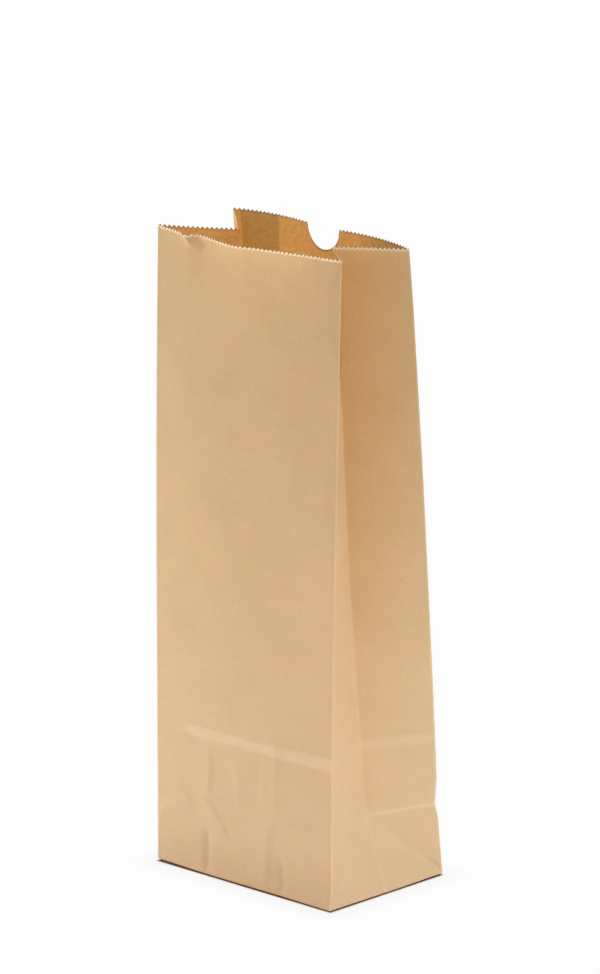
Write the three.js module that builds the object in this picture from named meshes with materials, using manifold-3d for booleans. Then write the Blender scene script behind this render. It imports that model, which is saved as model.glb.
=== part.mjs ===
// A brown paper lunch bag standing open: a flat oblong base, side panels tucked in along a middle crease,
// a saw-cut mouth with a thumb notch in the back panel, and a glued seam down the back.
// Millimetres. +Z is up, +X runs right along the front panel and -Y is the front.
// The origin is the middle of the base rectangle, on its underside.
import * as THREE from 'three';
import { mergeVertices } from 'three/addons/utils/BufferGeometryUtils.js';
import Module from 'manifold-3d';

// Flat sizes of the bag and of its paper.
const WIDTH = 120;
const DEPTH = 80;
const HEIGHT = 330;
const PAPER = 0.12;

// The mouth is cut with a saw edge, and the back panel has a half-round notch for the thumb, with its
// middle a little below the tips of the teeth and nearer the panel's left edge.
const TOOTH_PITCH = 2.34;
const TOOTH_DEPTH = 0.95;
const NOTCH_RADIUS = 10.8;
const NOTCH_SINK = 0.6;
const NOTCH_OFF_MIDDLE = 1.9;

// The seam is a strip of two plies near the back panel's left edge. The middle of the wall's paper lies
// that many plies further out at the end of the inner ply.
const SEAM_INSET = 5;
const SEAM_WIDTH = 22.7;
const SEAM_STEP = 0.75;

// The base flaps overlap past the middle. The side flaps lie inside them, and a flap whose slanting folds
// meet before its free edge ends in a blunt point.
const FLAP_OVERLAP = 12;
const FLAP_POINT = 2;

// The folded rim under the walls stands upright, and the walls lean from there up.
const RIM = 1;

// The back corners are pinched in where the flat bag folds over its base.
const PINCH = 1.3;
const PINCH_REACH = 12;

// A pressed line runs round the walls as high as the base is deep. It has a steep lip and a long slope.
const LINE_SINK = 0.3;
const LINE_LIP = 1.2;
const LINE_SLOPE = 6.5;

// Outward bulge of the panels at the mouth, and the power by which it grows with height from the fold
// line. The front panel bulges more on its left.
const FRONT_BULGE = 5.6;
const FRONT_BULGE_LEFT = 1.6;
const BACK_BULGE = 4;
const BULGE_GROWTH = 1.7;

const HALF_WIDTH = WIDTH / 2;
const HALF_DEPTH = DEPTH / 2;
const NOTCH_MIDDLE = HALF_WIDTH - NOTCH_OFF_MIDDLE;

// Each upright edge or crease: its foot on the base, and how far the open bag has moved it right and back
// at the fold line, halfway from there up, and at the mouth. The moves are in half depths, so that a
// deeper or a shallower bag opens to the same shape and its side panels keep their width.
const FRONT_LEFT = {
  foot: [-HALF_WIDTH, -HALF_DEPTH],
  moves: [[0.005, 0.008], [0.018, 0.04], [0.052, 0.115]],
};
const FRONT_RIGHT = {
  foot: [HALF_WIDTH, -HALF_DEPTH],
  moves: [[0.002, 0.035], [0.012, 0.17], [-0.008, 0.35]],
};
const RIGHT_CREASE = {
  foot: [HALF_WIDTH, 0],
  moves: [[-0.31, -0.028], [-0.59, -0.015], [-0.772, -0.03]],
};
const BACK_RIGHT = {
  foot: [HALF_WIDTH, HALF_DEPTH],
  moves: [[0.09, -0.14], [0.152, -0.37], [0.115, -0.59]],
  pinch: [-0.9, -0.4],
};
const BACK_LEFT = {
  foot: [-HALF_WIDTH, HALF_DEPTH],
  moves: [[0.07, -0.13], [0.158, -0.375], [0.122, -0.642]],
  pinch: [0.9, -0.4],
};
const LEFT_CREASE = {
  foot: [-HALF_WIDTH, 0],
  moves: [[0.15, -0.03], [0.6, -0.17], [0.872, -0.3]],
};

// How finely the plain parts of the walls are drawn.
const PANEL_PARTS = 12;
const HALF_SIDE_PARTS = 3;
const TRIANGLE_PARTS = 6;
const ROWS_ABOVE_LINE = 7;
const NOTCH_PARTS = 16;
const RISE_STEPS = 16;

// The plain rows end this far below the notch. The saw's corners keep this far from its ends.
const NOTCH_COLLAR = 4;
const NOTCH_CLEARANCE = 0.2;

// Points nearer than these are one point: as a share of a panel's width, in plan, and in the finished mesh.
const SAME_SHARE = 1e-6;
const SAME_PLACE = 1e-4;
const SAME_CORNER = 1e-5;

function mix(a, b, k) {
  return a + (b - a) * k;
}

// How far up a height is from the rim to the fold line, and from the fold line to the mouth, from 0 to 1.
function belowFold(up) {
  return THREE.MathUtils.clamp((up - RIM) / (HALF_DEPTH - RIM), 0, 1);
}

function aboveFold(up) {
  return Math.max(0, (up - HALF_DEPTH) / (HEIGHT - HALF_DEPTH));
}

// The pinch of a back corner, from one at the fold line to nothing PINCH_REACH away.
function pinchAt(up) {
  return Math.max(0, 1 - Math.abs(up - HALF_DEPTH) / PINCH_REACH);
}

// Where an edge stands in plan, at a distance up the sheet: straight from the rim to the fold line, and
// on a parabola through its three moves from there to the mouth.
function planAt(edge, up) {
  const k = aboveFold(up);
  const weights = [2 * (k - 0.5) * (k - 1) * belowFold(up), 4 * k * (1 - k), 2 * k * (k - 0.5)];
  return edge.foot.map((foot, axis) => {
    const moved = edge.moves.reduce((sum, move, i) => sum + move[axis] * weights[i], 0) * HALF_DEPTH;
    const pinched = edge.pinch ? edge.pinch[axis] * PINCH * pinchAt(up) : 0;
    return foot + moved + pinched;
  });
}

// How high a stretch of the edge rises: paper keeps its length, so a lean costs height.
function riseBetween(edge, low, high) {
  let rise = 0;
  for (let i = 0; i < RISE_STEPS; i += 1) {
    const a = mix(low, high, i / RISE_STEPS);
    const b = mix(low, high, (i + 1) / RISE_STEPS);
    const [ax, ay] = planAt(edge, a);
    const [bx, by] = planAt(edge, b);
    rise += Math.sqrt(Math.max(0, (b - a) ** 2 - (bx - ax) ** 2 - (by - ay) ** 2));
  }
  return rise;
}

function edgeAt(edge, up) {
  const [x, y] = planAt(edge, up);
  const low = Math.min(up, HALF_DEPTH);
  return new THREE.Vector3(x, y, riseBetween(edge, 0, low) + riseBetween(edge, low, up));
}

// The side of a triangle over the base, or the crease above it: a diagonal fold from the base corner to
// the foot of the crease up to the fold line, and from there the crease itself.
function tuckAt(corner, crease, up) {
  if (up >= HALF_DEPTH) {
    return edgeAt(crease, up);
  }
  const rimTop = new THREE.Vector3(corner.foot[0], corner.foot[1], Math.min(up, RIM));
  return rimTop.lerp(edgeAt(crease, HALF_DEPTH), belowFold(up));
}

function frontBulge(across, up) {
  const angle = across * Math.PI;
  const shape = FRONT_BULGE * Math.sin(angle) + FRONT_BULGE_LEFT * Math.sin(2 * angle);
  return shape * aboveFold(up) ** BULGE_GROWTH;
}

function backBulge(across, up) {
  return BACK_BULGE * (1 - (2 * across - 1) ** 4) * aboveFold(up) ** BULGE_GROWTH;
}

// The walls in turn, anticlockwise from the front left edge. Each says where it starts and ends at a
// distance up, how wide it is and how many parts its plain rows have. A side panel has two halves, which
// meet at the crease, and the triangle between its diagonal folds below the fold line.
const edge = (which) => (up) => edgeAt(which, up);
const tuck = (corner, crease) => (up) => tuckAt(corner, crease, up);
const flat = () => 0;

function halfSide(from, to) {
  const closedAt = (up) => up <= RIM;
  return { from, to, wide: HALF_DEPTH, parts: HALF_SIDE_PARTS, bulge: flat, seamed: false, closedAt };
}

function triangle(from, to) {
  const closedAt = (up) => up >= HALF_DEPTH;
  return { from, to, wide: DEPTH, parts: TRIANGLE_PARTS, bulge: flat, seamed: false, closedAt };
}

function panel(from, to, bulge, seamed) {
  const closedAt = () => false;
  return { from, to, wide: WIDTH, parts: PANEL_PARTS, bulge, seamed, closedAt };
}

const PANELS = [
  panel(edge(FRONT_LEFT), edge(FRONT_RIGHT), frontBulge, false),
  halfSide(edge(FRONT_RIGHT), tuck(FRONT_RIGHT, RIGHT_CREASE)),
  triangle(tuck(FRONT_RIGHT, RIGHT_CREASE), tuck(BACK_RIGHT, RIGHT_CREASE)),
  halfSide(tuck(BACK_RIGHT, RIGHT_CREASE), edge(BACK_RIGHT)),
  panel(edge(BACK_RIGHT), edge(BACK_LEFT), backBulge, true),
  halfSide(edge(BACK_LEFT), tuck(BACK_LEFT, LEFT_CREASE)),
  triangle(tuck(BACK_LEFT, LEFT_CREASE), tuck(FRONT_LEFT, LEFT_CREASE)),
  halfSide(tuck(FRONT_LEFT, LEFT_CREASE), edge(FRONT_LEFT)),
];

// A point of the sheet's middle surface, a share of the way across a wall.
function sheetPoint(wall, across, up) {
  const start = wall.from(up);
  const end = wall.to(up);
  const chord = end.clone().sub(start).setZ(0).normalize();
  const bulge = wall.bulge(across, up);
  const point = start.lerp(end, across);
  return point.set(point.x + chord.y * bulge, point.y - chord.x * bulge, point.z);
}

// The saw edge of a wall: valleys at its two sides, and a whole number of teeth between them.
function toothCount(wall) {
  return Math.round(wall.wide / TOOTH_PITCH);
}

function sawHeight(wall, across) {
  const phase = (across * toothCount(wall)) % 1;
  return HEIGHT - TOOTH_DEPTH * Math.abs(2 * phase - 1);
}

// How far a place across the back panel is from the notch's middle, which is measured from the left.
function fromNotch(across) {
  return Math.abs((1 - across) * WIDTH - NOTCH_MIDDLE);
}

function mouthHeight(wall, across) {
  const saw = sawHeight(wall, across);
  const away = fromNotch(across);
  if (!wall.seamed || away > NOTCH_RADIUS) {
    return saw;
  }
  return Math.min(saw, HEIGHT - NOTCH_SINK - Math.sqrt(NOTCH_RADIUS ** 2 - away ** 2));
}

function evenStops(parts) {
  return Array.from({ length: parts + 1 }, (_, i) => i / parts);
}

// Where the mouth has a corner: the tips and valleys outside the notch, and points round the notch.
function mouthStops(wall) {
  const stops = evenStops(2 * toothCount(wall));
  if (!wall.seamed) {
    return stops;
  }
  const round = evenStops(NOTCH_PARTS).map((turn) => {
    const along = NOTCH_MIDDLE + NOTCH_RADIUS * Math.cos(Math.PI * turn);
    return 1 - along / WIDTH;
  });
  const clear = stops.filter((across) => fromNotch(across) > NOTCH_RADIUS + NOTCH_CLEARANCE);
  return [...clear, ...round].sort((a, b) => a - b);
}

// How many plies each skin lies outside the sheet's middle surface. Across the seam the outer ply rides on
// the inner one, and past the inner ply's end it comes back in to the panel's left edge.
const SKINS = { outer: 0.5, inner: -0.5 };
const SEAM_STRETCHES = [
  { end: 1 - (SEAM_INSET + SEAM_WIDTH) / WIDTH, outer: [0.5, 0.5], inner: [-0.5, -0.5] },
  { end: 1 - SEAM_INSET / WIDTH, outer: [1.5, 1.5], inner: [-0.5, -0.5] },
  { end: 1, outer: [1.5, 0.5], inner: [0.5, -0.5] },
];

// A run of points of one skin, whose plies out go from first to last.
function pointRun(wall, stops, heightAt, first, last) {
  const start = stops[0];
  const length = stops.at(-1) - start || 1;
  return stops.map((across) => ({
    point: sheetPoint(wall, across, heightAt(across)),
    plies: mix(first, last, (across - start) / length),
    across,
  }));
}

// The back panel falls into its seam's stretches. Between two stretches a run joins them: over a ply's end
// it has two points, and on a skin without that step it has one.
function seamRuns(wall, skin, stops, heightAt) {
  const runs = [];
  let start = 0;
  for (const stretch of SEAM_STRETCHES) {
    const inside = stops.filter((s) => s > start + SAME_SHARE && s < stretch.end - SAME_SHARE);
    const run = pointRun(wall, [start, ...inside, stretch.end], heightAt, ...stretch[skin]);
    if (runs.length > 0) {
      const before = runs.at(-1).at(-1);
      runs.push(before.plies === run[0].plies ? [before] : [before, run[0]]);
    }
    runs.push(run);
    start = stretch.end;
  }
  return runs;
}

// One level of a skin, as runs of points. A wall that is closed at the level has one point there.
function levelRuns(skin, stopsOf, heightOf) {
  return PANELS.flatMap((wall) => {
    const heightAt = (across) => heightOf(wall, across);
    const stops = wall.closedAt(heightAt(0)) ? [0] : stopsOf(wall);
    if (wall.seamed) {
      return seamRuns(wall, skin, stops, heightAt);
    }
    return [pointRun(wall, stops, heightAt, SKINS[skin], SKINS[skin])];
  });
}

// Moves each point out along the mitre of the plan outline, so that the sheet keeps its thickness at folds.
function offsetLevel(runs, sink) {
  const all = runs.flat().map(({ point }) => new THREE.Vector2(point.x, point.y));
  const neighbour = (i, step) => {
    let j = (i + step + all.length) % all.length;
    while (j !== i && all[j].distanceTo(all[i]) < SAME_PLACE) {
      j = (j + step + all.length) % all.length;
    }
    return all[j];
  };
  const outward = (a, b) => new THREE.Vector2(b.y - a.y, a.x - b.x).normalize();
  let i = 0;
  return runs.map((run) => run.map(({ point, plies, across }) => {
    const before = outward(neighbour(i, -1), all[i]);
    const after = outward(all[i], neighbour(i, 1));
    i += 1;
    const move = before.clone().add(after).multiplyScalar((plies * PAPER - sink) / (1 + before.dot(after)));
    return { at: new THREE.Vector3(point.x + move.x, point.y + move.y, point.z), across };
  }));
}

// The plain rows, from the base up: the rim, the pinch and fold line, the pressed line, and even rows as
// far as a collar below the notch.
function plainRows() {
  const collar = HEIGHT - NOTCH_SINK - NOTCH_RADIUS - NOTCH_COLLAR;
  const low = [
    0,
    RIM,
    HALF_DEPTH - PINCH_REACH,
    HALF_DEPTH,
    HALF_DEPTH + PINCH_REACH,
    DEPTH - LINE_SLOPE,
    DEPTH,
    DEPTH + LINE_LIP,
  ];
  const high = evenStops(ROWS_ABOVE_LINE).slice(1).map((k) => mix(DEPTH, collar, k));
  return [...low, ...high].map((up) => ({ up, sink: up === DEPTH ? LINE_SINK : 0 }));
}

// The levels of one skin, from the base to the saw edge.
function skinLevels(skin) {
  const plain = plainRows().map(({ up, sink }) => (
    offsetLevel(levelRuns(skin, (wall) => evenStops(wall.parts), () => up), sink)
  ));
  return [...plain, offsetLevel(levelRuns(skin, mouthStops, mouthHeight), 0)];
}

// Joins two levels with triangles, run by run. They face right of the runs' direction.
function joinLevels(low, high, corners) {
  low.forEach((lowRun, r) => {
    const highRun = high[r];
    let i = 0;
    let j = 0;
    while (i < lowRun.length - 1 || j < highRun.length - 1) {
      const nextLow = i < lowRun.length - 1 ? lowRun[i + 1].across : Infinity;
      const nextHigh = j < highRun.length - 1 ? highRun[j + 1].across : Infinity;
      if (nextLow <= nextHigh) {
        corners.push(lowRun[i].at, lowRun[i + 1].at, highRun[j].at);
        i += 1;
      } else {
        corners.push(lowRun[i].at, highRun[j + 1].at, highRun[j].at);
        j += 1;
      }
    }
  });
}

// The walls: an outer and an inner skin, joined along the saw edge and under the rim.
function wallGeometry() {
  const outer = skinLevels('outer');
  const inner = skinLevels('inner');
  const corners = [];
  const inside = [];
  for (let i = 0; i < outer.length - 1; i += 1) {
    joinLevels(outer[i], outer[i + 1], corners);
    joinLevels(inner[i], inner[i + 1], inside);
  }
  corners.push(...inside.reverse());
  joinLevels(outer.at(-1), inner.at(-1), corners);
  joinLevels(inner[0], outer[0], corners);
  return new THREE.BufferGeometry().setFromPoints(corners);
}

// A flat piece of the base, from its outline and the levels of its two faces, counted in plies.
function plate(outline, low, high) {
  const shape = new THREE.Shape(outline.map(([x, y]) => new THREE.Vector2(x, y)));
  const body = new THREE.ExtrudeGeometry(shape, { depth: (high - low) * PAPER, bevelEnabled: false });
  return body.translate(0, 0, low * PAPER);
}

// The base: the back flap underneath, the front flap, the slab of folded corners, and on top the two side
// flaps, whose ends are seen inside. Its outline runs down the middle of the walls' paper, and follows the
// seam out at the back left.
function basePlates() {
  const flap = HALF_DEPTH + FLAP_OVERLAP;
  const tip = Math.max(HALF_WIDTH - flap, FLAP_POINT / 2);
  const reach = Math.min(flap, HALF_WIDTH - tip);
  const frontLeft = [-HALF_WIDTH, -HALF_DEPTH];
  const frontRight = [HALF_WIDTH, -HALF_DEPTH];
  const backRight = [HALF_WIDTH, HALF_DEPTH];
  const backLeft = [[SEAM_INSET - HALF_WIDTH, HALF_DEPTH + SEAM_STEP * PAPER], [-HALF_WIDTH, HALF_DEPTH]];
  const backEnd = HALF_DEPTH - reach;
  return [
    plate([backRight, ...backLeft, [-tip, backEnd], [tip, backEnd]], 0, 3),
    plate([frontLeft, frontRight, [tip, -backEnd], [-tip, -backEnd]], 1, 3),
    plate([frontLeft, frontRight, backRight, ...backLeft], 2, 4),
    plate([[tip, -HALF_DEPTH], frontRight, backRight, [tip, HALF_DEPTH]], 3, 5),
    plate([frontLeft, [-tip, -HALF_DEPTH], [-tip, HALF_DEPTH], ...backLeft], 3, 5),
  ];
}

const wasm = await Module();
wasm.setup();

function toSolid(geometry) {
  const bare = geometry.clone();
  bare.deleteAttribute('normal');
  bare.deleteAttribute('uv');
  const merged = mergeVertices(bare, SAME_CORNER);
  const mesh = new wasm.Mesh({
    numProp: 3,
    vertProperties: new Float32Array(merged.attributes.position.array),
    triVerts: new Uint32Array(merged.index.array),
  });
  return new wasm.Manifold(mesh);
}

function toGeometry(solid) {
  const mesh = solid.getMesh();
  const shared = new THREE.BufferGeometry();
  shared.setAttribute('position', new THREE.BufferAttribute(mesh.vertProperties, 3));
  shared.setIndex(new THREE.BufferAttribute(mesh.triVerts, 1));
  const faceted = shared.toNonIndexed();
  faceted.computeVertexNormals();
  return faceted;
}

function paperBag() {
  const solid = basePlates().reduce((sum, body) => sum.add(toSolid(body)), toSolid(wallGeometry()));
  const brownPaper = new THREE.MeshStandardMaterial({ color: 0xd3ad82, roughness: 0.9, metalness: 0 });
  const mesh = new THREE.Mesh(toGeometry(solid), brownPaper);
  mesh.name = 'paper_bag';
  return mesh;
}

const bag = new THREE.Group();
bag.name = 'lunch_bag';
bag.add(paperBag());

export default bag;
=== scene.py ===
"""A brown paper lunch bag that stands open, with tucked-in sides, a saw-cut mouth and a folded base.

The bag is one folded sheet with two skins. A place on it has two sheet coordinates in millimetres: `across`,
round the bag within one panel, and `up`, from the base fold to the mouth.
"""

import math

import bpy
import numpy as np
from mathutils import Matrix, Vector


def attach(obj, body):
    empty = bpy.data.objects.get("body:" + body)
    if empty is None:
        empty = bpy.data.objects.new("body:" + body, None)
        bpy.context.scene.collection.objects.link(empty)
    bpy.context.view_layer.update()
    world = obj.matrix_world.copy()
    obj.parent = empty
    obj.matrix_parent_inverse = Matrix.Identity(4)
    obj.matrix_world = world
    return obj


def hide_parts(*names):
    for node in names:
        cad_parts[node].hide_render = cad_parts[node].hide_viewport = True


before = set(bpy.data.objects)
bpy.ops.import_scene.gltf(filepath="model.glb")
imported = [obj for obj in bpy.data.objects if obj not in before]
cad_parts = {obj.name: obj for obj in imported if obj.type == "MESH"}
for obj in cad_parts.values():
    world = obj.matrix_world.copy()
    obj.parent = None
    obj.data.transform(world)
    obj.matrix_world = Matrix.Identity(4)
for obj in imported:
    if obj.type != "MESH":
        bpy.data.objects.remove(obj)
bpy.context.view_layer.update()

# Sizes of the bag in millimetres.
WIDTH = 120.0
DEPTH = 80.0
HEIGHT = 330.0
PAPER = 0.12
HALF_DEPTH = DEPTH / 2
TEETH_PER_HALF_SIDE = 17
TEETH_PER_PANEL = 51
TOOTH_DEPTH = 1.3
TIPS_ABOVE = 0.5
NOTCH_RADIUS = 10.8
NOTCH_SINK = 1.7
NOTCH_FROM_RIGHT = 61.9
SEAM_OUTER_END = WIDTH - 26.0
SEAM_INNER_END = WIDTH - 4.0
SEAM_DENSITY = 0.3
FOLD_SOFTNESS = 0.35
PRESSED_LINE = 80.0
CUT_FLARE = 0.65
CUT_FLARE_HEIGHT = 1.3
BASE_INSET = 0.44
BASE_PLY_DENSITY = 2.5
GIRTH = 2 * (WIDTH + DEPTH)
METRE = 0.001

WHITE = (0.983, 0.983, 0.983, 1)


def mix(a, b, k):
    return a + (b - a) * k


def smoothstep(low, high, value):
    k = np.clip((value - low) / (high - low), 0, 1)
    return k * k * (3 - 2 * k)


def bell(value, middle, reach):
    return np.exp(-(((value - middle) / reach) ** 2))


def through(knots, value):
    """A smooth curve through (place, height) knots."""
    knots = np.asarray(knots, float)
    places, heights = knots[:, 0], knots[:, 1]
    slopes = np.gradient(heights, places)
    i = np.clip(np.searchsorted(places, value, side="right") - 1, 0, len(places) - 2)
    span = places[i + 1] - places[i]
    k = np.clip((value - places[i]) / span, 0, 1)
    return (
        heights[i] * (1 + 2 * k) * (1 - k) ** 2
        + heights[i + 1] * k * k * (3 - 2 * k)
        + span * slopes[i] * k * (1 - k) ** 2
        - span * slopes[i + 1] * k * k * (1 - k)
    )


class Edge:
    """An upright fold of the sheet, given by where it stands in plan at some distances up the sheet.

    Paper keeps its length, so the fold's height follows from its lean.
    """

    STEP = 0.25

    def __init__(self, knots, start_height=0.0, pinch=(0.0, 0.0), rise=0.0):
        knots = np.asarray(knots, float)
        self.ups = np.arange(knots[0, 0], HEIGHT + 2, self.STEP)
        plan = np.stack([through(knots[:, [0, 1]], self.ups), through(knots[:, [0, 2]], self.ups)], 1)
        above = np.clip(1 - (self.ups - HALF_DEPTH) / 13, 0, 1)
        below = np.clip(1 - (HALF_DEPTH - self.ups) / 8, 0, 1)
        plan += np.minimum(above, below)[:, None] * np.array(pinch)
        steps = np.diff(plan, axis=0)
        rises = np.sqrt(np.maximum(self.STEP**2 - (steps**2).sum(1), 0))
        heights = start_height + np.concatenate([[0], np.cumsum(rises)])
        heights += rise * smoothstep(80, HEIGHT, self.ups)
        self.points = np.column_stack([plan, heights])
        self.foot = self.points[0]

    def at(self, up):
        return np.stack([np.interp(up, self.ups, self.points[:, k]) for k in range(3)], -1)


FRONT_LEFT = Edge([
    (0, -60.45, -40.0), (40, -60.4, -39.4), (100, -60.3, -38.7), (165, -60.2, -37.8),
    (240, -59.5, -36.8), (330, -57.9, -35.4),
])
FRONT_RIGHT = Edge([
    (0, 60.3, -40.1), (5, 60.9, -39.8), (30, 60.4, -38.7), (79, 59.6, -36.6), (141, 59.2, -34.0),
    (185, 59.3, -32.1), (225, 59.2, -30.4), (295, 59.6, -27.6), (330, 59.7, -26.0),
], rise=1.0)
BACK_RIGHT = Edge([
    (0, 61.1, 39.9), (16, 61.9, 37.5), (30, 62.9, 35.3), (40, 63.5, 34.1), (51, 64.1, 33.1), (64, 64.6, 32.2),
    (90, 65.1, 30.6), (135, 65.6, 27.9), (175, 65.8, 25.6), (208, 66.0, 23.6), (240, 65.9, 21.7),
    (270, 65.7, 19.9), (307, 65.3, 17.7), (330, 64.6, 16.4),
], pinch=(-1.3, -0.5), rise=0.2)
BACK_LEFT = Edge([
    (0, -60.3, 39.9), (16, -60.0, 37.5), (40, -57.8, 34.5), (64, -56.3, 33.1), (134, -54.4, 28.5),
    (185, -53.7, 25.0), (238, -53.6, 21.2), (290, -54.2, 17.3), (330, -55.1, 14.3),
], pinch=(1.2, -0.5), rise=0.5)
RIGHT_CREASE = Edge([
    (40, 47.7, -1.1), (55, 46.2, -1.2), (80, 44.3, -1.2), (129, 40.5, -1.2), (169, 37.6, -1.2),
    (213, 35.6, -1.2), (245, 34.1, -1.2), (290, 31.5, -1.2), (330, 29.1, -1.2),
], start_height=38.1, rise=-0.4)
LEFT_CREASE = Edge([
    (40, -54.0, -1.2), (80, -49.3, -2.0), (134, -42.3, -4.0), (185, -36.4, -6.8), (238, -31.0, -9.1),
    (290, -27.1, -11.0), (330, -25.1, -12.0),
], start_height=39.4, rise=1.2)


def panel_points(first, last, k, up):
    """Places on the straight line between two edges, a share k of the way."""
    return mix(first.at(up), last.at(up), k[..., None])


def side_points(first, crease, last, across, up):
    """A side panel. Below the fold line two slanting folds run from the base corners to the crease's foot."""
    reach = np.clip(up, 1e-6, HALF_DEPTH)
    share = (reach / HALF_DEPTH)[..., None]
    middle = crease.at(np.maximum(up, HALF_DEPTH))
    above = (up >= HALF_DEPTH)[..., None]
    first_tuck = np.where(above, middle, mix(first.foot, middle, share))
    last_tuck = np.where(above, middle, mix(last.foot, middle, share))
    near = np.clip(across / reach, 0, 1)[..., None]
    far = np.clip((DEPTH - across) / reach, 0, 1)[..., None]
    between = (across - reach) / np.maximum(DEPTH - 2 * reach, 1e-6)
    triangle = mix(first_tuck, last_tuck, np.clip(between, 0, 1)[..., None])
    points = np.where((across > reach)[..., None], triangle, mix(first.at(up), first_tuck, near))
    return np.where((across > DEPTH - reach)[..., None], mix(last.at(up), last_tuck, far), points)


def press(across, up, path, depth, left, right, fade=0.25):
    """A bent line pressed into the sheet, as deep as `depth` along `path`.

    It fades over `left` and `right` millimetres to its sides, and over a share of its length at its ends.
    """
    path = np.asarray(path, float)
    lengths = np.hypot(*np.diff(path, axis=0).T)
    total = lengths.sum()
    nearest = np.full(across.shape, np.inf)
    value = np.zeros(across.shape)
    done = 0.0
    for (ax, ay), (bx, by), length in zip(path[:-1], path[1:], lengths):
        dx, dy = (bx - ax) / length, (by - ay) / length
        along = np.clip((across - ax) * dx + (up - ay) * dy, 0, length)
        off_x, off_y = across - ax - along * dx, up - ay - along * dy
        away = np.hypot(off_x, off_y)
        side = np.where(dx * off_y - dy * off_x > 0, left, right)
        place = (done + along) / total
        ends = smoothstep(0, fade, place) * smoothstep(0, fade, 1 - place)
        here = depth * np.clip(1 - away / side, 0, 1) ** 1.6 * ends
        value = np.where(away < nearest, here, value)
        nearest = np.minimum(nearest, away)
        done += length
    return value


def waves(across, up, seed, size, height):
    """A slow random waviness of the sheet."""
    rng = np.random.default_rng(seed)
    total = np.zeros(across.shape)
    for _ in range(9):
        angle, phase = rng.uniform(0, 2 * math.pi, 2)
        pitch = size * rng.uniform(0.7, 1.8)
        total += np.sin((across * math.cos(angle) + up * math.sin(angle)) * 2 * math.pi / pitch + phase)
    return total * height / 3


def pressed_line(up, place, slope, depth=0.4):
    """The line where the flat bag is folded: a steep lip facing down over a longer slope facing up."""
    off = up - place
    lip = np.clip(1 - off / 1.2, 0, 1)
    return -depth * np.where(off > 0, lip, np.clip(1 + off / slope, 0, 1))


def above_fold(up):
    return np.clip((up - HALF_DEPTH) / (HEIGHT - HALF_DEPTH), 0, 1)


# How far the front panel's cut edge waves out from its smooth bulge.
FRONT_EDGE_WAVES = [
    (0, 0), (0.07, 0.3), (0.12, 0.4), (0.165, 0.5), (0.2, 0.2), (0.24, -0.9), (0.28, -2.0), (0.33, -1.2),
    (0.39, 0.6), (0.433, 1.6), (0.479, 2.6), (0.515, 2.9), (0.545, 1.9), (0.65, 1.0), (0.75, 0.8),
    (0.87, 0.2), (1, 0),
]
FRONT_EDGE_CRINKLE = [
    (0, 0), (0.14, 0), (0.165, 0.5), (0.2, 2.2), (0.218, 0.6), (0.24, -0.4), (0.28, -0.4), (0.32, 0), (1, 0),
]


def front_line(across):
    """Where the pressed line runs on the front panel."""
    return through([(0, 79.9), (12, 79.1), (25, 78.1), (50, 78.0), (85, 78.5), (120, 79.0)], across)


def front_relief(across, up):
    k = across / WIDTH
    angle = k * math.pi
    bow = (5.6 * np.sin(angle) + 1.6 * np.sin(2 * angle)) * above_fold(up) ** 1.7
    below = HEIGHT - up
    edge = through(FRONT_EDGE_WAVES, k) * np.exp(-below / 13)
    edge = edge + through(FRONT_EDGE_CRINKLE, k) * np.exp(-below / 4.5)
    low = (1 - smoothstep(60, 110, up)) * np.sin(angle)
    relief = bow + edge + 0.5 * low + waves(across, up, 3, 60, 0.16)
    relief += pressed_line(up, front_line(across), 7.2)
    relief += front_creases(across, up)
    return relief


def front_creases(across, up):
    """Crumples of the lower front panel and the crinkle near the mouth."""
    total = press(across, up, [(35, 69), (37.5, 58), (36, 47), (35, 40)], 0.5, 3.5, 9)
    total += press(across, up, [(29, 43), (39, 35.5), (46, 27), (50, 18)], 0.6, 3.5, 8)
    total += press(across, up, [(33.5, 27), (34.5, 16), (33.5, -6)], -0.9, 5, 4.5)
    total += press(across, up, [(-3, 24.5), (12, 32.5), (24, 39)], 0.5, 5, 12, 0.1)
    total += press(across, up, [(-3, 38.7), (18, 39.8), (30, 41)], -0.35, 2.5, 4, 0.1)
    total += press(across, up, [(82, 84), (82.4, 60), (82.5, 41)], 0.42, 8, 7)
    total += press(across, up, [(81, 42), (77, 28), (75.5, -3)], 0.55, 5, 12)
    total += press(across, up, [(84.5, 22), (86.5, 9), (86, -6)], -0.75, 5.5, 4.5)
    total += press(across, up, [(92, 41.2), (106, 41), (123, 41.8)], -0.32, 2, 4, 0.1)
    total += press(across, up, [(45, 98), (50, 87), (53, 80.5)], 0.35, 4, 14)
    total += press(across, up, [(18, 74), (28, 69.5), (35, 67)], -0.4, 4, 5)
    total += press(across, up, [(56, 67), (56.5, 50), (58, 33)], 0.3, 5, 6)
    total += press(across, up, [(70, 67), (69, 50), (68, 37)], -0.3, 5, 7)
    total += press(across, up, [(3, 17), (12, 10), (22, 4)], 0.25, 5, 6)
    total += press(across, up, [(97, 27), (104, 14), (112, 6)], 0.3, 9, 6)
    total *= 1.7
    total += press(across, up, [(24.2, 331), (25.4, 328), (27.2, 324.6)], 2.0, 1.6, 3.4, 0.12)
    total += press(across, up, [(27.5, 331), (30, 327.5), (35, 325)], -1.1, 4, 5, 0.1)
    total += press(across, up, [(94.2, 331), (94.4, 326)], -0.18, 0.9, 0.9, 0.3)
    return total


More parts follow.
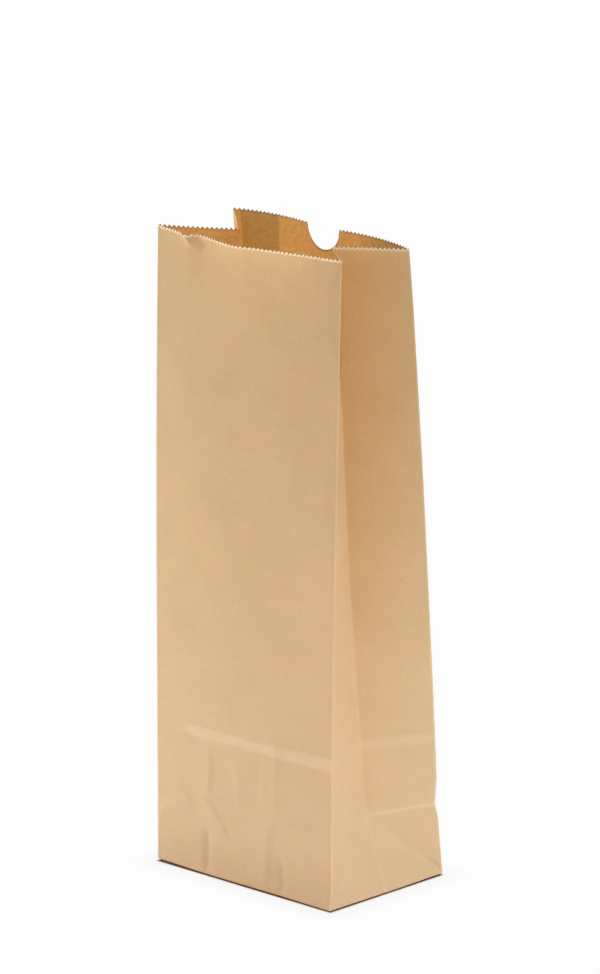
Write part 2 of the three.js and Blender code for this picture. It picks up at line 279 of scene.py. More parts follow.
def back_relief(across, up):
    k = across / WIDTH
    swell = 1 - (2 * k - 1) ** 4
    bow = (5.4 * swell - 2.3 * bell(k, 0.5, 0.15)) * above_fold(up) ** 1.7
    fold = press(across, up, [(-9, 38.9), (60, 40), (129, 39)], -0.6, 9, 5, 0.01)
    line = pressed_line(up, PRESSED_LINE + 0.4 * np.sin(k * 5), 7, 0.26)
    creases = press(across, up, [(30, 66), (41, 54), (44, 42)], 0.6, 7, 4)
    creases += press(across, up, [(84, 36), (90, 22), (88, 6)], -0.6, 6, 5)
    creases += press(across, up, [(26, 33), (18, 18), (6, 6)], 0.55, 7, 4)
    creases += press(across, up, [(60, 36), (57, 20), (61, 4)], -0.45, 8, 5)
    creases += press(across, up, [(97, 74), (92, 60), (96, 46)], 0.45, 5, 8)
    creases += press(across, up, [(14, 150), (40, 139), (66, 141)], -0.3, 9, 7)
    return bow + fold + line + creases + waves(across, up, 5, 64, 0.3)


def right_relief(across, up):
    line = pressed_line(up, PRESSED_LINE, 6.5, np.where(across > HALF_DEPTH, 0.26, 0.12))
    fold = press(across, up, [(40.5, 40), (60, 39.3), (89, 38.6)], -0.5, 6, 3.5, 0.02)
    mid = press(across, up, [(40, 40), (40, 20), (40, -4)], 0.32, 5, 2.2, 0.04)
    mid -= press(across, up, [(41, 24), (52, 17), (60, 15)], 0.3, 6, 5)
    corner = press(across, up, [(72, 10), (77, 5.5), (81, 1.5)], -0.8, 2.5, 3, 0.1)
    half = np.abs(across - HALF_DEPTH) / HALF_DEPTH
    dish = np.where(across < HALF_DEPTH, -0.9, -0.35) * np.sin(half * math.pi) * above_fold(up) ** 1.5
    foot = press(across, up, [(12, 2), (24, 5), (34, 1)], 0.25, 6, 6)
    foot += press(across, up, [(44, 14), (55, 8), (66, 3)], 0.2, 7, 6)
    return line + fold + mid + corner + dish + foot + waves(across, up, 11, 58, 0.18)


def left_relief(across, up):
    line = pressed_line(up, PRESSED_LINE, 6.5, np.where(across < HALF_DEPTH, 0.26, 0.12))
    fold = press(across, up, [(-9, 38.8), (20, 39.4), (39.5, 40)], -0.5, 6, 3.5, 0.02)
    mid = press(across, up, [(40, 40), (40, 20), (40, -4)], 0.35, 3, 6, 0.04)
    half = np.abs(across - HALF_DEPTH) / HALF_DEPTH
    dish = -0.5 * np.sin(half * math.pi) * above_fold(up) ** 1.5
    creases = press(across, up, [(14, 66), (22, 54), (27, 42)], 0.5, 6, 4)
    creases += press(across, up, [(18, 20), (26, 12), (24, 3)], -0.5, 5, 5)
    creases += press(across, up, [(58, 33), (66, 22), (64, 10)], 0.4, 6, 4)
    creases += press(across, up, [(52, 70), (60, 61), (70, 59)], -0.35, 6, 5)
    return line + fold + mid + dish + creases + waves(across, up, 17, 52, 0.24)


def around_folds(stops, *folds):
    """Stops with two more beside each fold, so that the fold stays narrow."""
    extra = [f + d for f in folds for d in (-FOLD_SOFTNESS, FOLD_SOFTNESS)]
    return np.unique(np.round([s for s in [*stops, *extra] if 0 <= s <= stops[-1]], 6))


HALF_STOPS = np.arange(2 * TEETH_PER_HALF_SIDE + 1) * HALF_DEPTH / (2 * TEETH_PER_HALF_SIDE)
SIDE_STOPS = around_folds([*HALF_STOPS, *(HALF_DEPTH + HALF_STOPS[1:])], 0, HALF_DEPTH, DEPTH)
PANEL_STOPS = around_folds(np.arange(2 * TEETH_PER_PANEL + 1) * WIDTH / (2 * TEETH_PER_PANEL), 0, WIDTH)
SEAM_STOPS = [end + d for end in (SEAM_OUTER_END, SEAM_INNER_END) for d in (-0.3, -0.03, 0.03, 0.3)]
BACK_STOPS = np.unique(np.round([*PANEL_STOPS, *SEAM_STOPS], 6))


def row_stops():
    """Heights of the rows, close together at the base, the pressed line and the mouth."""
    low = around_folds(HALF_STOPS, 0, HALF_DEPTH)
    middle = [40.35, *np.arange(41.8, 78.6, 1.6), 79.3, 80.0, 80.6, 81.4, 82.6, *np.arange(84.5, 92, 2.4)]
    high = [*np.arange(96, 300, 6), *np.arange(301, 317, 3), *np.arange(318, 327.6, 1.2)]
    rim = [328.3, 329.0, 329.68, 330.0]
    return np.unique(np.round([*low, *middle, *high, *rim], 6))


ROWS = row_stops()


def saw(across, pitch):
    """How far the cut edge lies under the teeth's tips."""
    phase = (across / pitch) % 1
    return TOOTH_DEPTH * np.abs(2 * phase - 1)


def mouth_ups(across, notched):
    """Sheet heights of each column's rows, which bend down to follow the teeth and the thumb notch."""
    below = HEIGHT - ROWS
    teeth = np.repeat(saw(across, WIDTH / TEETH_PER_PANEL)[:, None], len(ROWS), 1)
    notch = np.zeros(teeth.shape)
    if notched:
        away = np.abs(across - NOTCH_FROM_RIGHT)
        inside = away < NOTCH_RADIUS
        depth = NOTCH_SINK + NOTCH_RADIUS * np.cos(np.clip(away / NOTCH_RADIUS, 0, 1) * math.pi / 2)
        notch[inside] = depth[inside, None]
        teeth[inside] = 0
    teeth = teeth * (1 - smoothstep(0.33, 2.4, below))
    notch = notch * (1 - smoothstep(0.0, 30.0, below))
    return ROWS + TIPS_ABOVE * smoothstep(300, HEIGHT, ROWS) - teeth - notch


def notch_shift(across):
    """Columns draw together towards the notch's sides near the mouth, so that its arc is round."""
    away = across - NOTCH_FROM_RIGHT
    round_place = NOTCH_RADIUS * np.sin(np.clip(away / NOTCH_RADIUS, -1, 1) * math.pi / 2)
    drawn = np.where(np.abs(away) < NOTCH_RADIUS, round_place - away, 0)
    return drawn[:, None] * smoothstep(300, 327, ROWS)[None]


def grid_normals(points):
    """Outward unit normals of a closed ring of columns."""
    around = np.roll(points, -1, 0) - np.roll(points, 1, 0)
    upward = np.gradient(points, axis=1)
    normals = np.cross(around, upward)
    return normals / np.maximum(np.linalg.norm(normals, axis=-1, keepdims=True), 1e-9)


def base_lift(x, y):
    """How high the base's fold stands off the ground. It is highest at the front left corner."""
    edge = 0.35 + 0.75 * bell(np.hypot(x + WIDTH / 2, y + HALF_DEPTH), 0, 24)
    edge = edge + 0.2 * bell(np.hypot(x - 20, y + HALF_DEPTH), 0, 25)
    edge = edge + 0.4 * bell(np.hypot(x - WIDTH / 2, y - HALF_DEPTH), 0, 20)
    inside = np.minimum(60.4 - np.abs(x), HALF_DEPTH - np.abs(y))
    return edge * np.clip(1 - np.maximum(inside, 0) / 11, 0, 1) ** 2


def build_sheet():
    """The middle surface as a ring of columns, with its sheet places and how far out each skin lies."""
    parts = []
    for panel, stops in enumerate((PANEL_STOPS, SIDE_STOPS, BACK_STOPS, SIDE_STOPS)):
        notched = panel == 2
        across = np.repeat(stops[:, None], len(ROWS), 1)
        if notched:
            across = across + notch_shift(stops)
        up = mouth_ups(stops, notched)
        if panel == 0:
            points = panel_points(FRONT_LEFT, FRONT_RIGHT, across / WIDTH, up)
            relief = front_relief(across, up)
        elif panel == 1:
            points = side_points(FRONT_RIGHT, RIGHT_CREASE, BACK_RIGHT, across, up)
            relief = right_relief(across, up)
        elif panel == 2:
            points = panel_points(BACK_RIGHT, BACK_LEFT, across / WIDTH, up)
            relief = back_relief(across, up)
        else:
            points = side_points(BACK_LEFT, LEFT_CREASE, FRONT_LEFT, across, up)
            relief = left_relief(across, up)
        outer = np.full(len(stops), 0.5)
        if panel == 2:
            ride = (stops - SEAM_INNER_END) / (WIDTH - SEAM_INNER_END)
            outer = np.where(stops > SEAM_OUTER_END, 1.5, 0.5)
            outer = np.where(stops > SEAM_INNER_END, mix(1.5, 0.5, ride), outer)
            inner = np.where(stops > SEAM_INNER_END, mix(0.5, -0.5, ride), -0.5)
        else:
            inner = np.full(len(stops), -0.5)
        doubled = (stops > SEAM_OUTER_END) & (stops < SEAM_INNER_END) & (panel == 2)
        keep = slice(0, len(stops) - 1)
        parts.append([a[keep] for a in (points, relief, across, up, outer, inner, doubled.astype(float))])
    points, relief, across, up, outer, inner, doubled = (np.concatenate(a) for a in zip(*parts))
    panel_of = np.concatenate([np.full(len(p[0]), i) for i, p in enumerate(parts)])
    folds = fold_weight(panel_of, across[:, 0]) * smoothstep(-1.5, 4.5, ROWS)
    flared = (panel_of == 0)[:, None] * (1 - smoothstep(0, CUT_FLARE_HEIGHT, HEIGHT - ROWS))
    relief = relief + CUT_FLARE * flared
    points = points + grid_normals(points) * (relief * folds)[..., None]
    points = soften_folds(points, panel_of, across[:, 0])
    lift = base_lift(points[:, :1, 0], points[:, :1, 1])
    points[..., 2] += lift * (1 - smoothstep(0, 32, ROWS))[None]
    return points, panel_of, across, up, outer, inner, doubled


def fold_weight(panel_of, across):
    """Relief dies out at the upright folds, which are stiff."""
    width = np.where(panel_of % 2 == 0, WIDTH, DEPTH)
    near = np.minimum(across, width - across)
    near = np.where(panel_of % 2 == 1, np.minimum(near, np.abs(across - HALF_DEPTH) + 3), near)
    return smoothstep(-1, 5, near)[:, None]


def soften_folds(points, panel_of, across):
    """Rounds the upright folds and the fold round the base."""
    is_fold = (across == 0) | ((panel_of % 2 == 1) & (np.abs(across - HALF_DEPTH) < 1e-6))
    middle = (np.roll(points, 1, 0) + np.roll(points, -1, 0)) / 2
    softened = np.where(is_fold[:, None, None], mix(points, middle, 0.55), points)
    centre = softened[:, :1].mean(0)
    inward = centre - softened[:, :1]
    inward[..., 2] = 0
    inward /= np.linalg.norm(inward, axis=-1, keepdims=True)
    tuck = np.interp(ROWS, [0, FOLD_SOFTNESS, 1.2], [0.5, 0.16, 0.0])
    return softened + inward * tuck[None, :, None]


# The flat layout of the skins, in millimetres: its whole width, how far the inner skin lies from the outer
# one and a flap's underside from its top, where the flaps' column starts, and the step between two flaps.
# The layout fills most of a square, with a margin.
MAP_SIZE = 700.0
SKIN_SHIFT = 345.0
FLAP_SHIFT = 130.0
FLAP_COLUMN = 430.0
FLAP_STEP = 90.0
MAP_FILL = 0.98
MAP_MARGIN = 0.01


class Shell:
    """Gathers the corners and faces of the bag, with what the paper needs to know at each corner."""

    def __init__(self):
        self.points, self.faces, self.maps, self.bakes = [], [], [], []
        self.plies, self.cut, self.outside, self.wear_and_painted_light = [], [], [], []
        self.count = 0

    def add(self, points, faces, sheet, bake, plies, cut, outside, wear_and_painted_light=0.0):
        shape = points.shape[:-1]
        self.points.append(points.reshape(-1, 3))
        self.maps.append(sheet.reshape(-1, 2))
        self.bakes.append(bake.reshape(-1, 2))
        stores = (self.plies, self.cut, self.outside, self.wear_and_painted_light)
        for store, value in zip(stores, (plies, cut, outside, wear_and_painted_light)):
            store.append(np.broadcast_to(np.asarray(value, float), shape).reshape(-1))
        self.faces.append(faces + self.count)
        first = self.count
        self.count += int(np.prod(shape))
        return first

    def join(self, faces):
        self.faces.append(np.asarray(faces))


def grid_faces(index, flip, steep=None):
    """Two triangles for each cell of a grid of corner numbers. `steep` cells split the other way."""
    a, b = index[:-1, :-1], index[1:, :-1]
    c, d = index[1:, 1:], index[:-1, 1:]
    steep = np.zeros(a.shape, bool) if steep is None else steep
    one = np.where(steep[..., None], np.stack([a, b, d], -1), np.stack([a, b, c], -1))
    two = np.where(steep[..., None], np.stack([b, c, d], -1), np.stack([a, c, d], -1))
    faces = np.concatenate([one.reshape(-1, 3), two.reshape(-1, 3)])
    return faces[:, ::-1] if flip else faces


def wear_and_painted_light_share(panel_of, across, up):
    """How pale, above 0, or dark, below 0, the outside is, from wear by folding and handling and from painted
    light.

    Flattened fibres are pale along the fold line of the flat bag and along the folds, partly as painted
    highlight.
    The dark line over the pale band, the dark line beside the front's upright folds and the dark foot,
    darkest on the front, are painted shade.
    """
    line = np.where(panel_of == 0, front_line(across), PRESSED_LINE)
    off = line - up
    side = panel_of % 2 == 1
    rear = (panel_of == 2) | ((panel_of == 1) & (across > HALF_DEPTH))
    rear = rear | ((panel_of == 3) & (across < HALF_DEPTH))
    fading = np.where(panel_of == 0, 0.25 + 0.6 * smoothstep(12, 24, across), 1.0)
    strength = fading * np.where(side, np.where(rear, 0.55, 0.12), np.where(panel_of == 0, 1.0, 0.7))
    reach = np.where(panel_of == 0, 6.8, 5.8)
    # Pale band under the line, partly painted highlight where its slope faces up.
    band = smoothstep(1.1, 2.1, off) * (1 - smoothstep(reach, reach + 0.9, off)) * strength
    # Painted shade: a dark line where the lip faces down.
    lip = -0.35 * bell(off, -0.5, 0.6) * strength
    # Pale fold lines of wear on the rear, the slants and the side creases, partly painted highlight.
    fold = np.where(rear, 1.0 * bell(up, HALF_DEPTH - 0.4, 0.8), 0)
    tuck = np.where(across > HALF_DEPTH, np.abs(DEPTH - across - up), np.abs(across - up))
    slant = np.where(side & (up < HALF_DEPTH), np.where(rear, 0.3, 0.1) * bell(tuck, 0, 0.9), 0)
    width = np.where(side, DEPTH, WIDTH)
    near_edge = np.minimum(across, width - across)
    # Pale upright folds of wear, partly painted highlight; on the front a painted shade line beside them.
    upright = 0.95 * bell(near_edge, 0, 0.7) - np.where(side, 0, 0.45) * bell(near_edge, 1.6, 0.6)
    crease = np.where(side, np.where(up > HALF_DEPTH, 0.25, 0.45) * bell(across, HALF_DEPTH, 0.7), 0)
    # Painted shade: darker towards the base, most on the front.
    foot = np.where(panel_of == 0, -0.55, -0.12) * (1 - smoothstep(4, 30, up))
    scuff = bell(across, 94.8, 0.9) * smoothstep(321, 322.5, up) * (1 - smoothstep(326, 327.5, up))
    scuff = np.where(panel_of == 0, 0.7 * scuff, 0)
    return np.clip(band + lip + np.maximum.reduce([fold, slant, crease]) + upright + foot + scuff, -1, 1)


def wall_skins(shell):
    """The outer and inner skin of the walls, joined along the cut and along the base."""
    points, panel_of, across, up, outer, inner, doubled = build_sheet()
    normals = grid_normals(points)
    columns, rows = points.shape[:2]
    offsets = np.array([0, WIDTH, WIDTH + DEPTH, 2 * WIDTH + DEPTH])[panel_of]
    around = across + offsets[:, None]
    number = np.arange(columns * rows).reshape(columns, rows)
    ring = np.concatenate([number, number[:1]])
    following = np.concatenate([across[:, 0], [DEPTH]])
    falling = panel_of % 2 == 1
    sum_low = following[:-1, None] + ROWS[None, :-1]
    steep = falling[:, None] & (sum_low >= DEPTH - 1e-6 - 1.2) & (ROWS[None, :-1] < HALF_DEPTH)
    steep &= across[:, :1] >= HALF_DEPTH - 1e-6
    cut = np.broadcast_to(HEIGHT - ROWS, (columns, rows))
    firsts = []
    for side, offset in ((1.0, outer), (0.0, inner)):
        skin = points + normals * (offset * PAPER)[:, None, None]
        sheet = np.stack([around, up], -1) / 100
        bake = np.stack([around, up + (0 if side else SKIN_SHIFT)], -1) / MAP_SIZE * MAP_FILL + MAP_MARGIN
        faces = grid_faces(ring, side == 0.0, steep)
        # Wear, painted highlight and painted shade, on the outside skin only.
        outside_wear_and_painted_light = wear_and_painted_light_share(panel_of[:, None], across, up) * side
        plies = 1 + SEAM_DENSITY * doubled[:, None]
        firsts.append(shell.add(skin, faces, sheet, bake, plies, cut, side, outside_wear_and_painted_light))
    top = np.stack([ring[:, -1] + firsts[0], ring[:, -1] + firsts[1]], 1)
    bottom = np.stack([ring[:, 0] + firsts[0], ring[:, 0] + firsts[1]], 1)
    shell.join(grid_faces(top, False))
    shell.join(grid_faces(bottom, True))


def base_place(x, y):
    """A place of a plain 2 by 2 base, from -1 to 1 each way, taken to the foot of the walls."""
    along, deep = (x + 1) / 2, (y + 1) / 2
    front = mix(FRONT_LEFT.foot, FRONT_RIGHT.foot, along)
    back = mix(BACK_LEFT.foot, BACK_RIGHT.foot, along)
    return mix(front, back, deep)[:2] - np.array([x, y]) * BASE_INSET


def flap(shell, corners, low, high, number_of_flap):
    """A flat flap of the base between two ply levels. Its corners run anticlockwise from above."""
    corners = np.array([base_place(*corner) for corner in corners])
    u, v = np.meshgrid(np.linspace(0, 1, 19), np.linspace(0, 1, 15), indexing="ij")
    u, v = u[..., None], v[..., None]
    plan = mix(mix(corners[0], corners[1], u), mix(corners[3], corners[2], u), v)
    rise = base_lift(plan[..., 0], plan[..., 1])
    number = np.arange(u.size).reshape(u.shape[:2])
    firsts = []
    for level, flip, shift in ((high, False, 0), (low, True, FLAP_SHIFT)):
        waviness = waves(plan[..., 0], plan[..., 1], number_of_flap, 40, 0.02)
        heights = rise + level * PAPER + 0.05 + np.abs(waviness)
        points = np.concatenate([plan, heights[..., None]], -1)
        sheet = (plan + number_of_flap * 17) / 100
        place = [WIDTH / 2 + FLAP_COLUMN + shift, HALF_DEPTH + FLAP_STEP * (number_of_flap - 1)]
        bake = (plan + place) / MAP_SIZE * MAP_FILL + MAP_MARGIN
        far_from_cut, outside = 99.0, 1.0
        firsts.append(shell.add(
            points, grid_faces(number, flip), sheet, bake, BASE_PLY_DENSITY, far_from_cut, outside,
        ))
    rim = np.concatenate([number[:, 0], number[-1, 1:], number[-2::-1, -1], number[0, -2::-1]])
    sides = np.stack([rim + firsts[1], rim + firsts[0]], 1)
    shell.join(grid_faces(sides, False))


def base_flaps(shell):
    """The folded base: back flap lowest, front flap, the folded corners, and the side flaps inside."""
    tip, end = 0.333, 0.3
    flap(shell, [(-tip, -end), (tip, -end), (1, 1), (-1, 1)], 0, 1, 1)
    flap(shell, [(-1, -1), (1, -1), (tip, end), (-tip, end)], 1, 2, 2)
    flap(shell, [(-1, -1), (1, -1), (1, 1), (-1, 1)], 2, 3, 3)
    flap(shell, [(tip, -1), (1, -1), (1, 1), (tip, 1)], 3, 4, 4)
    flap(shell, [(-1, -1), (-tip, -1), (-tip, 1), (-1, 1)], 3, 4, 5)


def unwrapped(corners, girth):
    """Face corners of a flat layout, where a face that runs on past the last column does not turn back."""
    wide = np.ptp(corners[..., 0], axis=1) > girth / 2
    behind = corners[..., 0] < corners[..., 0].max(1, keepdims=True) - girth / 2
    corners[..., 0] += girth * (wide[:, None] & behind)
    return corners


def unbridged(corners, axis, shift, slip):
    """Face corners of the layout, where a face that joins two islands lies beside the first one."""
    far = shift / MAP_SIZE * MAP_FILL
    wide = np.ptp(corners[..., axis], axis=1) > far * 0.9
    beyond = corners[..., axis] > corners[..., axis].min(1, keepdims=True) + far / 2
    moved = wide[:, None] & beyond
    corners[..., axis] -= far * moved
    return corners + moved[..., None] * np.array(slip) / MAP_SIZE


def layouts(shell, faces):
    """Each face's corners on the sheet, and on the flat layout of all skins and flaps."""
    sheet = unwrapped(np.concatenate(shell.maps)[faces], GIRTH / 100)
    bake = np.concatenate(shell.bakes)[faces]
    walls = bake[..., 0].max(1) < (FLAP_COLUMN - 15) / MAP_SIZE * MAP_FILL
    bake[walls] = unwrapped(bake[walls], GIRTH / MAP_SIZE * MAP_FILL)
    at_mouth = walls & (bake[..., 1].min(1) > 200 / MAP_SIZE) & (bake[..., 1].min(1) < 0.49)
    for chosen, slip in ((at_mouth, (0.0, 1.4)), (walls & ~at_mouth, (0.0, -1.4))):
        bake[chosen] = unbridged(bake[chosen], 1, SKIN_SHIFT, slip)
    bake[~walls] = unbridged(bake[~walls], 0, FLAP_SHIFT, (0.5, 0.5))
    return sheet, bake


def make_bag():
    """The bag's mesh, with its two layouts and what the paper's material reads at each corner."""
    shell = Shell()
    wall_skins(shell)
    base_flaps(shell)
    points = np.concatenate(shell.points) * METRE
    faces = np.concatenate(shell.faces)
    mesh = bpy.data.meshes.new("paper_bag_sheet")
    mesh.vertices.add(len(points))
    mesh.vertices.foreach_set("co", points.astype(np.float32).ravel())
    mesh.loops.add(faces.size)
    mesh.loops.foreach_set("vertex_index", faces.astype(np.int32).ravel())
    mesh.polygons.add(len(faces))
    mesh.polygons.foreach_set("loop_start", np.arange(0, faces.size, 3, dtype=np.int32))
    mesh.polygons.foreach_set("use_smooth", np.ones(len(faces), bool))
    mesh.update(calc_edges=True)
    for name, values in zip(("sheet", "OFBake"), layouts(shell, faces)):
        layer = mesh.uv_layers.new(name=name)
        layer.data.foreach_set("uv", values.astype(np.float32).ravel())
    stores = (
        ("plies", shell.plies),
        ("below_cut", shell.cut),
        ("outside", shell.outside),
        ("wear_and_painted_light", shell.wear_and_painted_light),
    )
    for name, values in stores:
        attribute = mesh.attributes.new(name, "FLOAT", "POINT")
        attribute.data.foreach_set("value", np.concatenate(values).astype(np.float32))
    mesh.validate()
    bag = bpy.data.objects.new("paper_bag_sheet", mesh)
    bpy.context.scene.collection.objects.link(bag)
    print("bag triangles", len(mesh.polygons), "corners", len(mesh.vertices))
    return bag


class Nodes:
    """A short way to write node trees."""

    def __init__(self, tree):
        self.tree = tree
        tree.nodes.clear()

    def add(self, kind, inputs=None, **settings):
        node = self.tree.nodes.new(kind)
        for key, value in settings.items():
            setattr(node, key, value)
        for key, value in (inputs or {}).items():
            if isinstance(value, bpy.types.NodeSocket):
                self.tree.links.new(value, node.inputs[key])
            else:
                node.inputs[key].default_value = value
        return node

    def math(self, operation, *values, clamp=False):
        inputs = dict(enumerate(values))
        return self.add("ShaderNodeMath", inputs, operation=operation, use_clamp=clamp).outputs[0]

    def ramp(self, value, low, high, out_low=0.0, out_high=1.0):
        inputs = {"Value": value, "From Min": low, "From Max": high, "To Min": out_low, "To Max": out_high}
        return self.add("ShaderNodeMapRange", inputs, clamp=True).outputs[0]

    def noise(self, vector, scale, detail, roughness):
        inputs = {"Vector": vector, "Scale": scale, "Detail": detail, "Roughness": roughness}
        return self.add("ShaderNodeTexNoise", inputs).outputs["Fac"]

    def stretched(self, vector, scale, turn=0.0):
        inputs = {"Vector": vector, "Scale": scale, "Rotation": (0, 0, turn)}
        return self.add("ShaderNodeMapping", inputs, vector_type="TEXTURE").outputs[0]

    def blend(self, factor, a, b, way="MIX"):
        node = self.add("ShaderNodeMix", {"Factor": factor}, data_type="RGBA", blend_type=way)
        for place, value in ((6, a), (7, b)):
            if isinstance(value, bpy.types.NodeSocket):
                self.tree.links.new(value, node.inputs[place])
            else:
                node.inputs[place].default_value = value
        return node.outputs[2]


def paper_material():
    """Brown paper with clouds, fibres, flattened folds, specks, a frayed pale cut, and light that passes.

    Painted highlight and shade lie along the folds, painted highlight on the pale cut, painted shade in the
    right side's rear half and inside the back's right end, and painted light low on the walls.
    """
    material = bpy.data.materials.new("brown_paper")
    material.use_nodes = True
    n = Nodes(material.node_tree)
    sheet = n.add("ShaderNodeUVMap", uv_map="sheet").outputs[0]

    def value_of(name):
        return n.add("ShaderNodeAttribute", attribute_name=name).outputs["Fac"]

    outside, below_cut, plies = value_of("outside"), value_of("below_cut"), value_of("plies")

    cloud = n.noise(sheet, 5, 3, 0.6)
    patch = n.noise(sheet, 2.2, 3, 0.6)
    flock = n.noise(sheet, 55, 3, 0.6)
    grain = n.noise(sheet, 240, 2, 0.6)
    ribs = n.noise(n.stretched(sheet, (14, 0.9, 1)), 14, 2, 0.5)
    fibres = [n.noise(n.stretched(sheet, (1.0, 14, 1), turn), 170, 1, 0.5) for turn in (0.3, -0.6)]
    light_fibres = n.ramp(n.math("MAXIMUM", fibres[0], fibres[1]), 0.66, 0.78)
    dark_fibres = n.ramp(n.noise(n.stretched(sheet, (1.0, 11, 1), 0.9), 150, 1, 0.5), 0.68, 0.76)

    pale, deep = (0.835, 0.68, 0.42, 1), (0.72, 0.545, 0.30, 1)
    light_fibre, dark_fibre = (0.92, 0.79, 0.56, 1), (0.50, 0.35, 0.18, 1)
    painted_light_low, pale_wear_and_highlight, painted_shade_colour = (0.84, 0.70, 0.52, 1), (0.93, 0.81, 0.57, 1), (0.60, 0.42, 0.22, 1)
    colour = n.blend(n.ramp(patch, 0.3, 0.7), (0.845, 0.675, 0.407, 1), (0.765, 0.592, 0.332, 1))
    colour = n.blend(n.ramp(cloud, 0.3, 0.75, 0.0, 0.6), colour, pale)
    colour = n.blend(n.ramp(flock, 0.35, 0.75, 0.0, 0.32), colour, deep)
    colour = n.blend(n.ramp(grain, 0.4, 0.8, 0.0, 0.4), colour, deep)
    colour = n.blend(n.ramp(ribs, 0.45, 0.75, 0.0, 0.2), colour, pale)
    colour = n.blend(n.math("MULTIPLY", light_fibres, 0.35), colour, light_fibre)
    colour = n.blend(n.math("MULTIPLY", dark_fibres, 0.25), colour, dark_fibre)
    # Painted light: the walls are paler towards the base, as if lit more there.
    colour = n.blend(n.ramp(below_cut, 170, 300, 0.0, 0.35), colour, painted_light_low)
    # Pale for flattened fibres and painted highlight, dark for painted shade.
    wear_and_painted_light = n.math("MULTIPLY", value_of("wear_and_painted_light"), n.ramp(flock, 0.25, 0.6, 0.7, 1.1))
    colour = n.blend(n.math("MULTIPLY", wear_and_painted_light, 0.6, clamp=True), colour, pale_wear_and_highlight)
    colour = n.blend(n.math("MULTIPLY", wear_and_painted_light, -0.5, clamp=True), colour, painted_shade_colour)

    pinkish, yellowish = (0.82, 0.60, 0.37, 1), (0.80, 0.66, 0.36, 1)
    tint = n.noise(sheet, 8, 3, 0.6)
    colour = n.blend(n.ramp(tint, 0.5, 0.75, 0.0, 0.45), colour, pinkish)
    colour = n.blend(n.ramp(tint, 0.5, 0.25, 0.0, 0.45), colour, yellowish)
    cells = n.add("ShaderNodeTexVoronoi", {"Vector": sheet, "Scale": 15.0, "Randomness": 1.0})
    chance = n.add("ShaderNodeSeparateColor", {"Color": cells.outputs["Color"]})
    size = n.ramp(chance.outputs[0], 0.6, 1.0, 0.0, 0.05)
    speck = n.math("LESS_THAN", cells.outputs["Distance"], size)
    colour = n.blend(n.math("MULTIPLY", speck, 0.55), colour, (0.35, 0.2, 0.11, 1))

    marks = n.noise(sheet, 110, 2, 0.5)
    colour = n.blend(n.ramp(marks, 0.65, 0.73, 0.0, 0.28), colour, dark_fibre)
    colour = n.blend(n.ramp(marks, 0.35, 0.27, 0.0, 0.25), colour, light_fibre)

    # Painted shade: the right side's rear half is darker and more orange near its crease, where it faces the
    # front half.
    # Inside, the back's right end is painted dark: it counts as thicker paper, so that less light passes
    # there.
    inside = n.math("SUBTRACT", 1.0, outside)
    around = n.add("ShaderNodeSeparateXYZ", {0: sheet}).outputs[0]
    crease_at, back_at = (WIDTH + HALF_DEPTH) / 100, (WIDTH + DEPTH) / 100
    past_crease = n.ramp(around, crease_at - 0.002, crease_at)
    before_back = n.ramp(around, back_at - 0.002, back_at, 1.0, 0.0)
    past_back = n.ramp(around, back_at - 0.002, back_at)
    painted_pleat_shade = n.math("MULTIPLY", n.ramp(around, crease_at, back_at, 1.0, 0.25), past_crease)
    painted_pleat_shade = n.math("MULTIPLY", painted_pleat_shade, before_back)
    painted_pleat_shade = n.math("MULTIPLY", painted_pleat_shade, n.ramp(below_cut, 90, 210, 1.0, 0.15))
    colour = n.blend(n.math("MULTIPLY", painted_pleat_shade, outside), colour, (0.99, 0.91, 0.75, 1), "MULTIPLY")
    # Painted shade inside the back's right end, given as thicker paper.
    corner = n.math("MULTIPLY", n.ramp(around, back_at + 0.1, back_at + 0.4, 0.9, 0.0), past_back)
    plies = n.math("ADD", plies, n.math("MULTIPLY", corner, inside))

    # The pale cut edge: light cut fibres, partly painted highlight.
    frayed = n.math("ADD", below_cut, n.ramp(grain, 0.3, 0.7, -0.25, 0.25))
    edge = n.ramp(frayed, 0.85, 1.3, 1.0, 0.0)
    rim = n.math("MULTIPLY", edge, n.ramp(outside, 0.2, 0.6))
    colour = n.blend(rim, colour, (1.0, 0.92, 0.74, 1))
    shade = n.math("MULTIPLY", edge, n.ramp(outside, 0.2, 0.0))
    colour = n.blend(n.math("MULTIPLY", shade, 0.5), colour, (0.45, 0.3, 0.17, 1))

    # Less light passes where the paper is doubled, and where it counts as thicker for painted shade, and the
    # face's colour makes up for it.
    share = n.math("MULTIPLY", n.ramp(outside, 0.0, 1.0, 0.56, 0.36), n.ramp(rim, 0.0, 1.0, 1.0, 0.25))
    passing = n.math("DIVIDE", share, plies)
    kept = n.math("DIVIDE", n.math("SUBTRACT", 1.0, share), n.math("SUBTRACT", 1.0, passing))
    kept = n.math("POWER", kept, n.ramp(outside, 0.0, 1.0, 1.0, 0.35))
    face = n.add("ShaderNodeVectorMath", {0: colour, "Scale": kept}, operation="SCALE").outputs[0]

    heights = n.math("MULTIPLY", flock, 0.5)
    heights = n.math("ADD", heights, n.math("MULTIPLY", grain, 0.25))
    heights = n.math("ADD", heights, n.math("MULTIPLY", ribs, 0.4))
    heights = n.math("ADD", heights, cloud)
    bump = n.add("ShaderNodeBump", {"Height": heights, "Strength": 0.4, "Distance": 0.0001})

